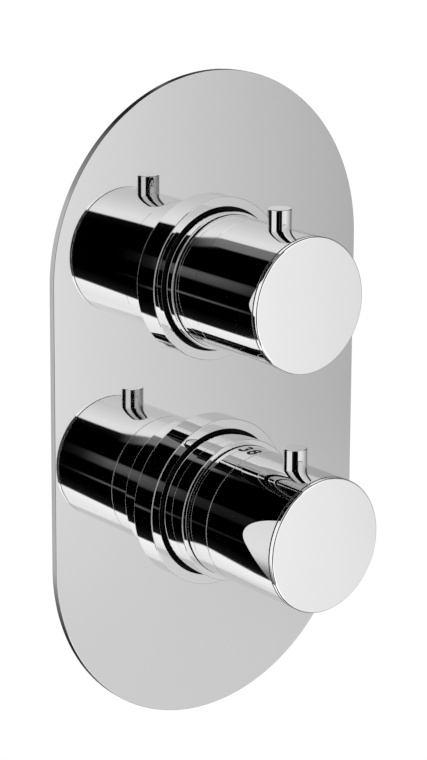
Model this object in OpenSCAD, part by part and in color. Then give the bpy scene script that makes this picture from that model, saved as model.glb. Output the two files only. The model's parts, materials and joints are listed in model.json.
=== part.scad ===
// Concealed thermostatic shower valve, millimetres.
// X runs to the right, Z up, and the wall is the plane Y = 0.
// Everything in front of the wall is at negative Y, everything in the wall at positive Y.
// The pieces are turned parts, so each is drawn along its own axis:
// a place called front is the distance in front of the wall, and behind the wall it is negative.

/* [Faceplate] */
// Width of the faceplate, whose ends are half circles
plate_w = 140; // [136:1:150]
// Height of the faceplate
plate_h = 243; // [236:1:260]
// Thickness of the faceplate
plate_t = 2.4; // [2.2:0.1:3]
// Bevel round the front edge of the faceplate
plate_edge = 0.3; // [0.1:0.1:0.6]
// Width of the rim outside the gasket channel
rim_w = 3; // [2:0.5:5]
// Width of the foam gasket
gasket_w = 8; // [5:0.5:10]
// Depth of the gasket channel in the back of the faceplate
gasket_t = 1.2; // [0.8:0.1:1.5]

/* [Handles] */
// Height of the flow handle's axis above the middle of the plate
upper_z = 45.7; // [43:0.1:50]
// Depth of the temperature handle's axis below the middle of the plate
lower_z = 39.3; // [37:0.1:45]
// Diameter of both handles
handle_d = 49; // [48:0.5:51]
// Wall of the handle shells
shell_wall = 2.6; // [2.2:0.1:3]
// Distance from the plate's face to the flow handle's end face
upper_reach = 55; // [54:0.5:62]
// Distance from the plate's face to the temperature handle's end face
lower_reach = 65; // [64:0.5:72]
// Distance from the plate's face to the front of the scale ring
scale_ring_reach = 28.4; // [26:0.1:30]
// Visible thickness of the end caps
cap_rim = 1.7; // [1.4:0.1:2.4]
// Bevel round the end faces
end_bevel = 0.7; // [0.3:0.1:1]
// Bevel on the front edge of the scale ring and on the edge that it meets
hairline_bevel = 0.12; // [0.1:0.01:0.2]
// Bevel on each side of a seam
seam_bevel = 0.3; // [0.2:0.05:0.4]
// Length of the spigot that holds an end cap in its shell
spigot_len = 4; // [3:0.5:5]
// Wall of that spigot
spigot_wall = 1.6; // [1.2:0.1:2]

/* [Pegs] */
// Diameter of the pegs on the handles
peg_d = 8.6; // [7.6:0.2:9.4]
// Height of the pegs above the handle
peg_rise = 7.4; // [6:0.2:9]
// Distance from a handle's end face to its peg's axis
peg_setback = 17; // [16:0.5:19]
// Bevel on the top of a peg
peg_bevel = 0.4; // [0.2:0.1:0.8]
// Depth of the peg's seat in the shell
peg_seat = 0.9; // [0.7:0.1:1.2]
// Thread diameter of the flow peg's stud
stud_d = 5; // [4:0.5:5.5]
// Travel of the temperature peg, which is the stop's release button
button_travel = 2; // [1.6:0.1:2.2]
// Diameter of the release button's stem
stem_d = 3.6; // [3:0.2:4]
// Diameter of the flange that keeps the button in
button_flange_d = 10.4; // [10:0.2:10.8]
// Thickness of that flange
button_flange_t = 1.2; // [1:0.1:1.5]

/* [Collars and sleeves] */
// Wall of the upper collar round its gap
upper_collar_wall = 3.6; // [3:0.1:4.4]
// Height of the upper collar above the plate
upper_collar_h = 5; // [4.5:0.1:6]
// Wall of the lower collar round its gap
lower_collar_wall = 3.8; // [3:0.1:4.6]
// Height of the lower collar above the plate
lower_collar_h = 5.3; // [4.8:0.1:6]
// Gap between a collar and its sleeve
collar_gap = 1.1; // [0.8:0.1:1.4]
// Thickness of the threaded flange inside each collar
collar_flange = 2.2; // [1.8:0.1:2.6]
// Bevel round the collars' edges
collar_bevel = 0.3; // [0.2:0.1:0.6]
// Wall of the upper sleeve
upper_sleeve_wall = 3.5; // [3:0.1:3.8]
// Distance from the plate's face to the upper sleeve's end
upper_sleeve_reach = 9.4; // [9:0.1:10.5]
// Wall of the lower sleeve
lower_sleeve_wall = 4.6; // [4:0.1:5]
// Distance from the plate's face to the lower sleeve's end
lower_sleeve_reach = 17.2; // [16:0.1:18.5]
// Gap between a sleeve and its handle
split_gap = 0.5; // [0.4:0.05:0.8]
// Thickness of the rubber rings under the collars
ring_seal_t = 1.2; // [1:0.1:1.5]
// Width of those rubber rings
ring_seal_w = 3; // [2:0.1:3.4]

/* [Valve body] */
// Diameter of the two threaded barrels
barrel_d = 44; // [43:0.2:44.6]
// Distance from the wall to the upper barrel's end
upper_barrel = 8.8; // [8:0.1:9.2]
// Distance from the wall to the lower barrel's end
lower_barrel = 14; // [13.4:0.1:14.6]
// Diameter of the thermostat chamber
chamber_d = 48; // [47:0.2:50]
// Distance from the wall to the front of the thermostat chamber
chamber_set = 4; // [3:0.2:4.6]
// Distance from the wall to the front of the cold inlet's boss
inlet_clear = 3; // [2.6:0.1:3.6]
// Thickness of the body's back wall
back_wall = 5; // [4:0.2:5.4]
// Radial gap between a barrel and its hole in the plate
hole_gap = 0.6; // [0.4:0.1:1]
// Diameter of the inlet bosses
inlet_boss_d = 25; // [24:0.2:25.6]
// Distance from the body's middle to the end of an inlet boss
inlet_reach = 37.5; // [37:0.1:40]
// Tapping diameter of the half inch inlet and outlet threads
thread_d = 18.6; // [18.2:0.1:19]
// Depth of the inlet threads
inlet_thread = 11; // [10:0.2:11.4]
// Diameter of the check valve pockets
pocket_d = 15.2; // [14.6:0.1:15.6]
// Length of the check valve pockets
pocket_len = 8; // [7.6:0.1:8.2]
// Diameter of the ports into the thermostat chamber
port_d = 9; // [8:0.1:9.4]
// Diameter of the outlet boss
outlet_boss_d = 26; // [25:0.2:27]
// Length of the outlet boss above the upper barrel
outlet_boss = 14; // [13:0.2:18]
// Depth of the outlet thread
outlet_thread = 13; // [12:0.2:13.6]
// Depth of the outlet's axis behind the wall
outlet_depth = 18; // [17.5:0.1:19]
// Diameter of the outlet's waterway
waterway_d = 14; // [12:0.2:14.6]
// Distance from the hot inlet's axis back to the axis of the pipe between the two chambers
bridge_step = 11; // [10.8:0.1:12]
// Thickness of the body behind that pipe
body_cover = 3; // [2:0.1:4]
// Outer diameter of the pipe
bridge_d = 18; // [17:0.2:19]
// Bore of that pipe
bridge_bore = 11; // [9:0.2:11.4]
// Depth of the sockets that the pipe is brazed into
bridge_socket = 5; // [4:0.2:5.4]
// Distance from the body's back to the back of the fixing bars
lug_setback = 6; // [5:0.2:7]
// Distance from a fixing hole's axis to the end of its bar
lug_margin = 6.5; // [5.5:0.5:8]
// Height of a fixing bar
lug_h = 14; // [12:0.5:16]
// Thickness of a fixing bar
lug_t = 6; // [5:0.2:7]
// Height of the upper fixing bar above the middle of the plate
lug_upper_z = 3.2; // [1:0.1:6]
// Depth of the lower fixing bar below the middle of the plate
lug_lower_z = 69; // [67.5:0.1:70]
// Distance between the fixing holes of one bar
lug_pitch = 51; // [49:0.5:54]
// Diameter of the fixing holes
lug_hole_d = 5.5; // [5:0.1:6.5]

/* [Flow headwork] */
// Bore of the upper barrel
headwork_bore = 24; // [23:0.1:25]
// Distance from the wall to the seat that the headwork closes on
seat_depth = 23.5; // [23.2:0.1:24]
// Thickness of the seat's wall
seat_t = 3; // [2.6:0.1:3.4]
// Diameter of the seat's hole
seat_hole_d = 9; // [8:0.1:9.6]
// Diameter of the headwork's lower body
cage_d = 19; // [18:0.1:19.6]
// Bore of the headwork's lower body
cage_bore = 14; // [13.6:0.1:14.6]
// Diameter of the headwork's flange
bonnet_d = 28; // [27:0.2:30]
// Thickness of the headwork's flange
bonnet_t = 3.4; // [3:0.1:4]
// Diameter of the headwork's neck
neck_d = 14; // [13:0.2:15]
// Length of the headwork's neck
neck_len = 9; // [8:0.2:10]
// Thickness of the fibre washer under the flange
washer_t = 0.8; // [0.6:0.1:1]
// Diameter of the flow spindle
flow_spindle_d = 8; // [7.6:0.1:8.4]
// Thickness of each ceramic disc
disc_t = 3.1; // [2.8:0.1:3.3]
// Height of the headwork's rubber seat
lip_t = 4; // [3.6:0.1:4.2]
// Length of the spindle's foot on the moving disc
foot_t = 3.4; // [3:0.1:3.6]

/* [Thermostatic cartridge] */
// Bore of the thermostat chamber
cartridge_bore = 34; // [33.6:0.1:34.6]
// Bore of the cartridge's housing
housing_bore = 26; // [25.4:0.1:26.4]
// Thickness of the housing's back wall
housing_back = 3; // [2.6:0.1:3.2]
// Diameter of the cords of the cartridge's rubber rings
ring_cord_d = 1.9; // [1.7:0.05:2.1]
// Length of the regulating shuttle, which is also the distance between the two inlets' axes
shuttle_len = 11.5; // [11:0.1:12]
// Wall of the regulating shuttle
shuttle_wall = 2; // [1.6:0.1:2.4]
// Diameter of the wax element
wax_d = 11.8; // [11:0.1:12.2]
// Diameter of the wax element's push pin
pin_d = 4; // [3.6:0.1:4.6]
// Diameter of the temperature spindle's thread
screw_d = 10; // [9.4:0.1:10.4]
// Travel of the regulating nut in one turn of the handle
screw_lead = 3; // [2:0.1:3]
// Diameter of the temperature spindle's stem
temp_spindle_d = 9; // [8.6:0.1:9.2]
// Thickness of the regulating nut
regulating_nut_t = 8; // [7.6:0.1:8.4]
// Diameter of the nut's spring cup
cup_d = 17; // [16.6:0.1:18]
// Wall of the spring cup
cup_wall = 1.8; // [1.4:0.1:2]
// Diameter of the retaining nut's hexagon, across its corners
nut_hex_d = 39; // [38:0.2:40]
// Thickness of that hexagon
nut_hex_t = 4.5; // [4:0.1:5]
// Outer diameter of the temperature stop's tube
stop_tube_d = 25; // [24.4:0.2:25.6]
// Diameter of the temperature stop's foot
stop_foot_d = 30; // [29:0.2:33]
// Angle that the stop's tooth covers
stop_tooth_angle = 28; // [20:1:36]

/* [Springs] */
// Wire diameter of the return spring
return_wire = 1.5; // [1.2:0.1:1.6]
// Wire diameter of the overload spring
overload_wire = 1; // [0.8:0.1:1.1]
// Wire diameter of the release button's spring
button_wire = 0.5; // [0.4:0.05:0.6]
// Turns of each spring
spring_turns = 4; // [3:1:4]

/* [Hidden] */
$fn = 96;

// Overrun of every cut past the face that it opens
over = 1;
// Radial gap of a turning or sliding fit
run_gap = 0.06;
// Gap between flat faces that pass each other
face_gap = 0.3;
// Gap of a piece that is pushed into another and stays there
push_gap = 0.03;
chrome = [0.82, 0.83, 0.84];
brass = [0.78, 0.62, 0.3];
rubber = [0.08, 0.08, 0.08];
plastic = [0.88, 0.88, 0.85];
ceramic = [0.95, 0.93, 0.88];
steel = [0.6, 0.61, 0.63];

// Places along the two axes, measured forwards from the wall
face = plate_t;
handle_r = handle_d / 2;
shell_bore_r = handle_r - shell_wall;
barrel_r = barrel_d / 2;
upper_sleeve_d = barrel_d + 2 * upper_sleeve_wall;
lower_sleeve_d = barrel_d + 2 * lower_sleeve_wall;
upper_collar_bore = upper_sleeve_d + 2 * collar_gap;
lower_collar_bore = lower_sleeve_d + 2 * collar_gap;
upper_collar_d = upper_collar_bore + 2 * upper_collar_wall;
lower_collar_d = lower_collar_bore + 2 * lower_collar_wall;
upper_split = face + upper_sleeve_reach;
lower_split = face + lower_sleeve_reach;
upper_end = face + upper_reach;
lower_end = face + lower_reach;
upper_peg = upper_end - peg_setback;
lower_peg = lower_end - peg_setback;
peg_r = peg_d / 2;
peg_top = handle_r + peg_rise;
peg_foot = handle_r - peg_seat;

// Draws its children with their local Z along the forward direction of an axis at height z.
module on_axis(z)
{
    translate([0, 0, z])
        rotate([90, 0, 0])
            children();
}

// Solid disc or rod from place f0 to place f1.
module rod(r, f0, f1)
{
    translate([0, 0, f0])
        cylinder(r = r, h = f1 - f0);
}

// Ring or tube from place f0 to place f1.
module ring(r_out, r_in, f0, f1)
{
    difference() {
        rod(r_out, f0, f1);
        rod(r_in, f0 - over, f1 + over);
    }
}

// Bevelled front end of a round piece, from full radius at f0 to f0 + bevel.
module bevel_front(r, bevel, f0)
{
    translate([0, 0, f0])
        cylinder(r1 = r, r2 = r - bevel, h = bevel);
}

// Bevelled back end of a round piece, ending at full radius at f0 + bevel.
module bevel_back(r, bevel, f0)
{
    translate([0, 0, f0])
        cylinder(r1 = r - bevel, r2 = r, h = bevel);
}

// Rod with a bevel at both ends.
module bevelled_rod(r, f0, f1, back, front)
{
    union() {
        bevel_back(r, back, f0);
        rod(r, f0 + back, f1 - front);
        bevel_front(r, front, f1 - front);
    }
}

// Rubber ring of round section about the axis.
module cord_ring(r_mid, cord_r, f)
{
    translate([0, 0, f])
        rotate_extrude()
            translate([r_mid, 0])
                circle(r = cord_r, $fn = 24);
}

// Hole or pin that runs out from the axis at place f, between two radii.
// The angle is zero at the top and grows anticlockwise, seen from the front.
module spoke(r, r0, r1, f, angle)
{
    rotate([0, 0, angle])
        translate([0, r0, f])
            rotate([-90, 0, 0])
                cylinder(r = r, h = r1 - r0);
}

// Splined end: a round bar with shallow grooves.
spline_teeth = 20;
spline_depth_share = 0.08;
module spline(r, f0, f1)
{
    points = [for (i = [0 : 2 * spline_teeth - 1])
        let (a = 180 * i / spline_teeth)
        let (p = (i % 2 == 0) ? r : r * (1 - spline_depth_share))
        [p * cos(a), p * sin(a)]];
    translate([0, 0, f0])
        linear_extrude(height = f1 - f0)
            polygon(points);
}

// Compression spring along the local Z from zero to len, as one swept wire.
wire_sides = 6;
turn_steps = 18;
function coil_point(r, len, wire, turns, t) =
    [r * cos(360 * turns * t), r * sin(360 * turns * t), wire / 2 + (len - wire) * t];
module coil_spring(r, len, wire, turns)
{
    steps = turns * turn_steps;
    points = [for (i = [0 : steps])
        for (k = [0 : wire_sides - 1])
            let (c = coil_point(r, len, wire, turns, i / steps))
            let (a = 360 * turns * i / steps)
            let (b = 360 * k / wire_sides)
            let (out = wire / 2 * cos(b))
            [c[0] + out * cos(a), c[1] + out * sin(a), c[2] + wire / 2 * sin(b)]];
    side = [for (i = [0 : steps - 1])
        for (k = [0 : wire_sides - 1])
            for (half = [0, 1])
                let (a = i * wire_sides + k)
                let (b = i * wire_sides + (k + 1) % wire_sides)
                half == 0 ? [a, a + wire_sides, b] : [b, a + wire_sides, b + wire_sides]];
    last = steps * wire_sides;
    start = [[for (k = [0 : wire_sides - 1]) k]];
    end = [[for (k = [wire_sides - 1 : -1 : 0]) last + k]];
    polyhedron(points = points, faces = concat(start, side, end));
}

// Outline with half-round ends.
module capsule_2d(w, h)
{
    union() {
        square([w, h - w], center = true);
        for (s = [-1, 1])
            translate([0, s * (h - w) / 2])
                circle(d = w);
    }
}

// Bevelled front layer of the capsule outline.
module capsule_bevel(w, h, bevel, f0)
{
    union() {
        for (s = [-1, 1])
            translate([0, s * (h - w) / 2, 0])
                bevel_front(w / 2, bevel, f0);
        translate([0, (h - w) / 2, f0])
            rotate([90, 0, 0])
                linear_extrude(height = h - w)
                    polygon([[-w / 2, 0], [w / 2, 0], [w / 2 - bevel, bevel], [bevel - w / 2, bevel]]);
    }
}

// Channel for the gasket, and the gasket itself, as a loop that follows the plate's edge.
module gasket_loop(f0, f1)
{
    translate([0, 0, f0])
        linear_extrude(height = f1 - f0)
            difference() {
                capsule_2d(plate_w - 2 * rim_w, plate_h - 2 * rim_w);
                capsule_2d(plate_w - 2 * (rim_w + gasket_w), plate_h - 2 * (rim_w + gasket_w));
            }
}

// Polished plate that covers the hole in the wall.
module faceplate()
{
    hole_r = barrel_r + hole_gap;
    color(chrome)
    on_axis(0)
        difference() {
            union() {
                linear_extrude(height = plate_t - plate_edge)
                    capsule_2d(plate_w, plate_h);
                capsule_bevel(plate_w, plate_h, plate_edge, plate_t - plate_edge);
            }
            gasket_loop(-over, gasket_t);
            for (z = [upper_z, -lower_z])
                translate([0, z, 0])
                    rod(hole_r, -over, plate_t + over);
        }
}

// Foam strip that seals the plate to the wall.
module faceplate_gasket()
{
    color(rubber)
    on_axis(0)
        gasket_loop(0, gasket_t);
}

// Boss for a pipe thread, running sideways from the chamber's middle.
module inlet_boss(side, depth)
{
    on_axis(-lower_z)
        spoke(inlet_boss_d / 2, 0, inlet_reach, -depth, -side * 90);
}

// The stepped hole of an inlet: thread, check valve pocket and port.
module inlet_hole(side, depth)
{
    thread_end = inlet_reach - inlet_thread;
    pocket_end = thread_end - pocket_len;
    on_axis(-lower_z) {
        spoke(thread_d / 2, thread_end, inlet_reach + over, -depth, -side * 90);
        spoke(pocket_d / 2, pocket_end, thread_end + over, -depth, -side * 90);
        spoke(port_d / 2, 0, pocket_end + over, -depth, -side * 90);
    }
}

// Bar with two fixing holes across the back of the body.
module fixing_bar(z)
{
    translate([-lug_reach, lug_depth - lug_t, z - lug_h / 2])
        cube([2 * lug_reach, lug_t, lug_h]);
}

module fixing_holes(z)
{
    for (s = [-1, 1])
        translate([s * lug_pitch / 2, lug_depth + over, z])
            rotate([90, 0, 0])
                cylinder(d = lug_hole_d, h = lug_t + 2 * over);
}

// Places along the body's depth and height
cold_depth = inlet_boss_d / 2 + inlet_clear;
hot_depth = cold_depth + shuttle_len;
bridge_depth = hot_depth + bridge_step;
body_depth = bridge_depth + bridge_d / 2 + body_cover;
lug_depth = body_depth - lug_setback;
lug_reach = lug_pitch / 2 + lug_margin;
body_back = -body_depth;
chamber_back = back_wall - body_depth;
outlet_top = barrel_r + outlet_boss;
pipe_low = chamber_d / 2 - bridge_socket - lower_z;
pipe_high = upper_z - barrel_r + bridge_socket;

// Brass casting that holds the headwork, with the outlet on top.
module flow_body()
{
    color(brass)
    difference() {
        on_axis(upper_z) {
            rod(barrel_r, body_back, upper_barrel);
            spoke(outlet_boss_d / 2, 0, outlet_top, -outlet_depth, 0);
        }
        on_axis(upper_z) {
            rod(headwork_bore / 2, -seat_depth, upper_barrel + over);
            rod(seat_hole_d / 2, -seat_depth - seat_t - over, over - seat_depth);
            rod(headwork_bore / 2, chamber_back, -seat_depth - seat_t);
            spoke(waterway_d / 2, headwork_bore / 2 - waterway_d / 4, outlet_top, -outlet_depth, 0);
            spoke(thread_d / 2, outlet_top - outlet_thread, outlet_top + over, -outlet_depth, 0);
        }
        translate([0, bridge_depth, pipe_high - bridge_socket - over])
            cylinder(r = bridge_d / 2 + push_gap, h = bridge_socket + over);
        translate([0, bridge_depth, pipe_high - over])
            cylinder(d = bridge_bore, h = upper_z + over - pipe_high);
    }
}

// Brass casting that holds the thermostat, with an inlet on each side.
module thermostat_body()
{
    web_w = lug_pitch / 2;
    color(brass)
    difference() {
        union() {
            on_axis(-lower_z) {
                rod(chamber_d / 2, body_back, -chamber_set);
                rod(barrel_r, -chamber_set - over, lower_barrel);
            }
            inlet_boss(-1, hot_depth);
            inlet_boss(1, cold_depth);
            fixing_bar(-lug_lower_z);
            translate([-web_w / 2, lug_depth - lug_t, -lug_lower_z])
                cube([web_w, lug_t, lug_lower_z - lower_z - cartridge_bore / 2]);
        }
        on_axis(-lower_z)
            rod(cartridge_bore / 2, chamber_back, lower_barrel + over);
        inlet_hole(-1, hot_depth);
        inlet_hole(1, cold_depth);
        translate([0, bridge_depth, pipe_low])
            cylinder(r = bridge_d / 2 + push_gap, h = bridge_socket + over);
        translate([0, bridge_depth, -lower_z])
            cylinder(d = bridge_bore, h = pipe_low + over + lower_z);
        fixing_holes(-lug_lower_z);
    }
}

// Brass pipe brazed between the two castings, with the upper fixing bar on it.
module link_pipe()
{
    color(brass)
    difference() {
        union() {
            translate([0, bridge_depth, pipe_low])
                cylinder(d = bridge_d, h = pipe_high - pipe_low);
            fixing_bar(lug_upper_z);
        }
        translate([0, bridge_depth, pipe_low - over])
            cylinder(d = bridge_bore, h = pipe_high + 2 * over - pipe_low);
        fixing_holes(lug_upper_z);
    }
}

// Check valve that sits in an inlet pocket: a body ring with a sprung poppet on its stem.
filter_t_share = 0.18;
seat_bore_share = 0.62;
valve_stem_share = 0.3;
poppet_share = 0.64;
module check_valve(side, depth)
{
    r = pocket_d / 2 - push_gap;
    near = inlet_reach - inlet_thread - pocket_len;
    far = near + pocket_len * (1 - filter_t_share);
    step = (far - near) / 4;
    on_axis(-lower_z)
        rotate([0, 0, -side * 90])
            translate([0, 0, -depth])
                rotate([-90, 0, 0]) {
                    difference() {
                        rod(r, near, far);
                        rod(r * seat_bore_share, near - over, far + over);
                    }
                    rod(r * valve_stem_share, near, far);
                    rod(r * poppet_share, near + step, near + 2 * step);
                }
}

module hot_check_valve()
{
    color(plastic)
        check_valve(-1, hot_depth);
}

module cold_check_valve()
{
    color(plastic)
        check_valve(1, cold_depth);
}

// Steel strainer that sits on a check valve: a disc with a ring of holes.
filter_holes = 8;
filter_hole_share = 0.16;
filter_ring_share = 0.62;
module inlet_filter(side, depth)
{
    r = pocket_d / 2 - push_gap;
    far = inlet_reach - inlet_thread;
    near = far - pocket_len * filter_t_share;
    on_axis(-lower_z)
        rotate([0, 0, -side * 90])
            translate([0, 0, -depth])
                rotate([-90, 0, 0])
                    difference() {
                        rod(r, near, far);
                        for (i = [0 : filter_holes - 1])
                            rotate([0, 0, 360 * i / filter_holes])
                                translate([r * filter_ring_share, 0, 0])
                                    rod(r * filter_hole_share, near - over, far + over);
                    }
}

module hot_inlet_filter()
{
    color(steel)
        inlet_filter(-1, hot_depth);
}

module cold_inlet_filter()
{
    color(steel)
        inlet_filter(1, cold_depth);
}

// Round collar that screws on a barrel and clamps the plate.
module collar(d, h, bore)
{
    flange_end = face + collar_flange;
    thread_r = barrel_r + push_gap;
    difference() {
        bevelled_rod(d / 2, face, face + h, 0, collar_bevel);
        rod(thread_r, face - over, flange_end + over);
        rod(bore / 2, flange_end, face + h + over);
        rod(thread_r + ring_seal_w, face - over, face + ring_seal_t);
    }
}

module upper_collar()
{
    color(chrome)
    on_axis(upper_z)
        collar(upper_collar_d, upper_collar_h, upper_collar_bore);
}

module lower_collar()
{
    color(chrome)
    on_axis(-lower_z)
        collar(lower_collar_d, lower_collar_h, lower_collar_bore);
}

// Flat rubber ring between a collar, its barrel and the plate.
module collar_seal()
{
    color(rubber)
        ring(barrel_r + push_gap + ring_seal_w, barrel_r + push_gap, face, face + ring_seal_t);
}

module upper_collar_seal()
{
    on_axis(upper_z)
        collar_seal();
}

module lower_collar_seal()
{
    on_axis(-lower_z)
        collar_seal();
}

// Plain sleeve on a barrel, from the collar's flange to the handle.
module sleeve(d, split)
{
    difference() {
        bevelled_rod(d / 2, face + collar_flange, split, 0, seam_bevel);
        rod(barrel_r + push_gap, face, split + over);
    }
}

module upper_sleeve()
{
    color(chrome)
    on_axis(upper_z)
        sleeve(upper_sleeve_d, upper_split);
}

module lower_sleeve()
{
    color(chrome)
    on_axis(-lower_z)
        sleeve(lower_sleeve_d, lower_split);
}

// Places in the headwork, from the seat forwards
bonnet_back = upper_barrel + washer_t;
bonnet_front = bonnet_back + bonnet_t;
neck_end = bonnet_front + neck_len;
lip_front = lip_t - seat_depth;
fixed_front = lip_front + disc_t;
moving_front = fixed_front + disc_t;
foot_front = moving_front + foot_t;
thread_back = bonnet_back - headwork_bore / 2;
cage_r = cage_d / 2;
cage_bore_r = cage_bore / 2;
flow_r = flow_spindle_d / 2;
hub_r = 2 * flow_r;
flow_spline_end = neck_end + cage_bore;
flow_spline_start = neck_end - seam_bevel;
hub_gap = 2 * face_gap;
screw_r = flow_r / 2;
screw_depth = 2 * flow_spindle_d;
screw_head_r = 7 * screw_r / 4;
screw_head_h = 3 * screw_r / 2;

// Brass headwork that holds the ceramic discs and the flow spindle.
module headwork_body()
{
    window_f = (fixed_front + foot_front) / 2;
    window_r = (foot_front - fixed_front) / 2;
    color(brass)
    on_axis(upper_z)
        difference() {
            union() {
                rod(cage_r, face_gap - seat_depth, thread_back + over);
                rod(headwork_bore / 2 - push_gap, thread_back, bonnet_back + over);
                rod(bonnet_d / 2, bonnet_back, bonnet_front);
                bevelled_rod(neck_d / 2, bonnet_front - over, neck_end, 0, end_bevel);
            }
            rod(cage_bore_r, -seat_depth - over, foot_front + run_gap);
            rod(flow_r + run_gap, foot_front, neck_end + over);
            for (a = [90, 270])
                spoke(window_r, cage_bore_r - over, cage_r + over, window_f, a);
        }
}

// Fibre washer under the headwork's flange.
module headwork_washer()
{
    color(plastic)
    on_axis(upper_z)
        ring(bonnet_d / 2, headwork_bore / 2, upper_barrel, bonnet_back);
}

// Rubber seat that the headwork presses on the body.
module headwork_lip_seal()
{
    color(rubber)
    on_axis(upper_z)
        ring(cage_bore_r - push_gap, seat_hole_d / 2, -seat_depth, lip_front);
}

// Disc with two openings, which are quarter sectors.
disc_hole_share = 0.75;
module ceramic_disc(f0, f1, angle)
{
    r = cage_bore_r - run_gap;
    hole_r = r * disc_hole_share;
    difference() {
        rod(r, f0, f1);
        rotate([0, 0, angle])
            for (a = [0, 180])
                rotate([0, 0, a])
                    translate([0, hole_r / 2, f0 - over])
                        cylinder(r = hole_r / 3, h = f1 - f0 + 2 * over);
    }
}

module fixed_ceramic_disc()
{
    color(ceramic)
    on_axis(upper_z)
        ceramic_disc(lip_front, fixed_front, 0);
}

module moving_ceramic_disc()
{
    color(ceramic)
    on_axis(upper_z)
        ceramic_disc(fixed_front, moving_front, 90);
}

// Spindle that turns the moving disc.
module flow_spindle()
{
    foot_slot = flow_spindle_d / 2;
    color(brass)
    on_axis(upper_z)
        difference() {
            union() {
                rod(cage_bore_r - run_gap, moving_front, foot_front);
                rod(flow_r, moving_front, flow_spline_start);
                spline(flow_r - push_gap, flow_spline_start - over, flow_spline_end);
            }
            rod(screw_r + push_gap, flow_spline_end - screw_depth, flow_spline_end + over);
            for (a = [0, 180])
                rotate([0, 0, a])
                    translate([flow_r, -foot_slot / 2, moving_front - over])
                        cube([cage_bore_r, foot_slot, foot_t + over - face_gap]);
        }
}

// Hub between a splined spindle and a shell, with its screw recess.
module hub_core(f_back, f_spline, f_front, r_spline)
{
    wall_t = screw_head_h;
    difference() {
        rod(hub_r, f_back, f_front);
        spline(r_spline, f_back - over, f_spline + push_gap);
        rod(screw_r + push_gap, f_spline, f_front + over);
        rod(screw_head_r + face_gap, f_spline + wall_t, f_front + over);
    }
}

// Screw that holds a hub on its spindle.
hex_key_share = 0.72;
module hub_screw(f_spline)
{
    seat = f_spline + screw_head_h;
    difference() {
        union() {
            rod(screw_r, f_spline + screw_head_h - screw_depth, seat + over);
            bevelled_rod(screw_head_r, seat, seat + screw_head_h, 0, seam_bevel);
        }
        translate([0, 0, seat + screw_head_h / 2])
            cylinder(r = screw_r * hex_key_share, h = screw_head_h, $fn = 6);
    }
}

// Handle shell: a tube with a fine bevel at each end.
module shell_tube(f0, f1, back, front)
{
    difference() {
        bevelled_rod(handle_r, f0, f1, back, front);
        rod(shell_bore_r, f0 - over, f1 + over);
    }
}

// End cap with a spigot that holds in the shell.
module end_cap(end)
{
    seam = end - cap_rim;
    spigot_r = shell_bore_r - push_gap;
    union() {
        bevelled_rod(handle_r, seam, end, seam_bevel, end_bevel);
        ring(spigot_r, spigot_r - spigot_wall, seam - spigot_len, seam + seam_bevel);
    }
}

upper_seam = upper_end - cap_rim;
lower_seam = lower_end - cap_rim;
upper_shell_back = upper_split + split_gap;
lower_shell_back = lower_split + split_gap;
scale_ring_end = face + scale_ring_reach;
stud_r = stud_d / 2;
stud_end = peg_foot - 2 * stud_d;
upper_web_half = stud_d;

// Hub of the flow handle, whose rim takes the peg's stud.
module upper_handle_hub()
{
    f_back = neck_end + hub_gap;
    f_front = upper_peg + upper_web_half;
    color(plastic)
    on_axis(upper_z)
        difference() {
            union() {
                hub_core(f_back, flow_spline_end, f_front, flow_r);
                ring(shell_bore_r - push_gap, hub_r - push_gap, upper_peg - upper_web_half, f_front);
            }
            spoke(stud_r + push_gap, stud_end - face_gap, shell_bore_r + over, upper_peg, 0);
        }
}

module upper_handle_screw()
{
    color(steel)
    on_axis(upper_z)
        hub_screw(flow_spline_end);
}

module upper_handle_shell()
{
    color(chrome)
    on_axis(upper_z)
        difference() {
            shell_tube(upper_shell_back, upper_seam, seam_bevel, seam_bevel);
            spoke(stud_r + push_gap, shell_bore_r - over, handle_r, upper_peg, 0);
            spoke(peg_r + push_gap, peg_foot, handle_r + over, upper_peg, 0);
        }
}

module upper_handle_cap()
{
    color(chrome)
    on_axis(upper_z)
        end_cap(upper_end);
}

// Grip peg with a threaded stud.
module upper_handle_peg()
{
    color(chrome)
    on_axis(upper_z)
        translate([0, 0, upper_peg])
            rotate([-90, 0, 0])
                union() {
                    bevelled_rod(peg_r, peg_foot, peg_top, 0, peg_bevel);
                    rod(stud_r, stud_end, peg_foot + over);
                }
}

// Places in the thermostat, from the back forwards
cartridge_r = cartridge_bore / 2;
housing_r = cartridge_r - push_gap;
housing_bore_r = housing_bore / 2;
housing_end = -body_depth + back_wall;
chamber_end = housing_end + housing_back;
nut_thread = lower_barrel - regulating_nut_t;
bearing_t = ring_seal_t;
collar_t = housing_back;
spindle_collar_front = nut_thread - bearing_t;
spindle_collar_back = spindle_collar_front - collar_t;
spindle_collar_share = 0.62;
spindle_collar_r = housing_bore_r * spindle_collar_share;
temp_r = temp_spindle_d / 2;
screw_thread_r = screw_d / 2;
nut_front = spindle_collar_back - collar_t - seam_bevel;
nut_back = nut_front - regulating_nut_t;
cup_lip = spigot_wall / 2;
cup_bore_r = cup_d / 2 - cup_wall;
shuttle_front = -(hot_depth + cold_depth) / 2 + shuttle_len / 2;
shuttle_back = shuttle_front - shuttle_len;
shuttle_r = housing_bore_r - run_gap;
web_front = shuttle_back + shuttle_len / 2;
web_back = web_front - shuttle_wall;
wax_flange_front = web_front + spigot_wall;
pin_front = wax_flange_front + cup_lip;
cup_end = pin_front + cup_lip;
cold_turn = 225;
slide_travel = screw_lead * cold_turn / 360;
key_w = pin_d;
key_r = housing_bore_r + key_w / 4;
stem_w = key_w + 2 * face_gap;

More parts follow.
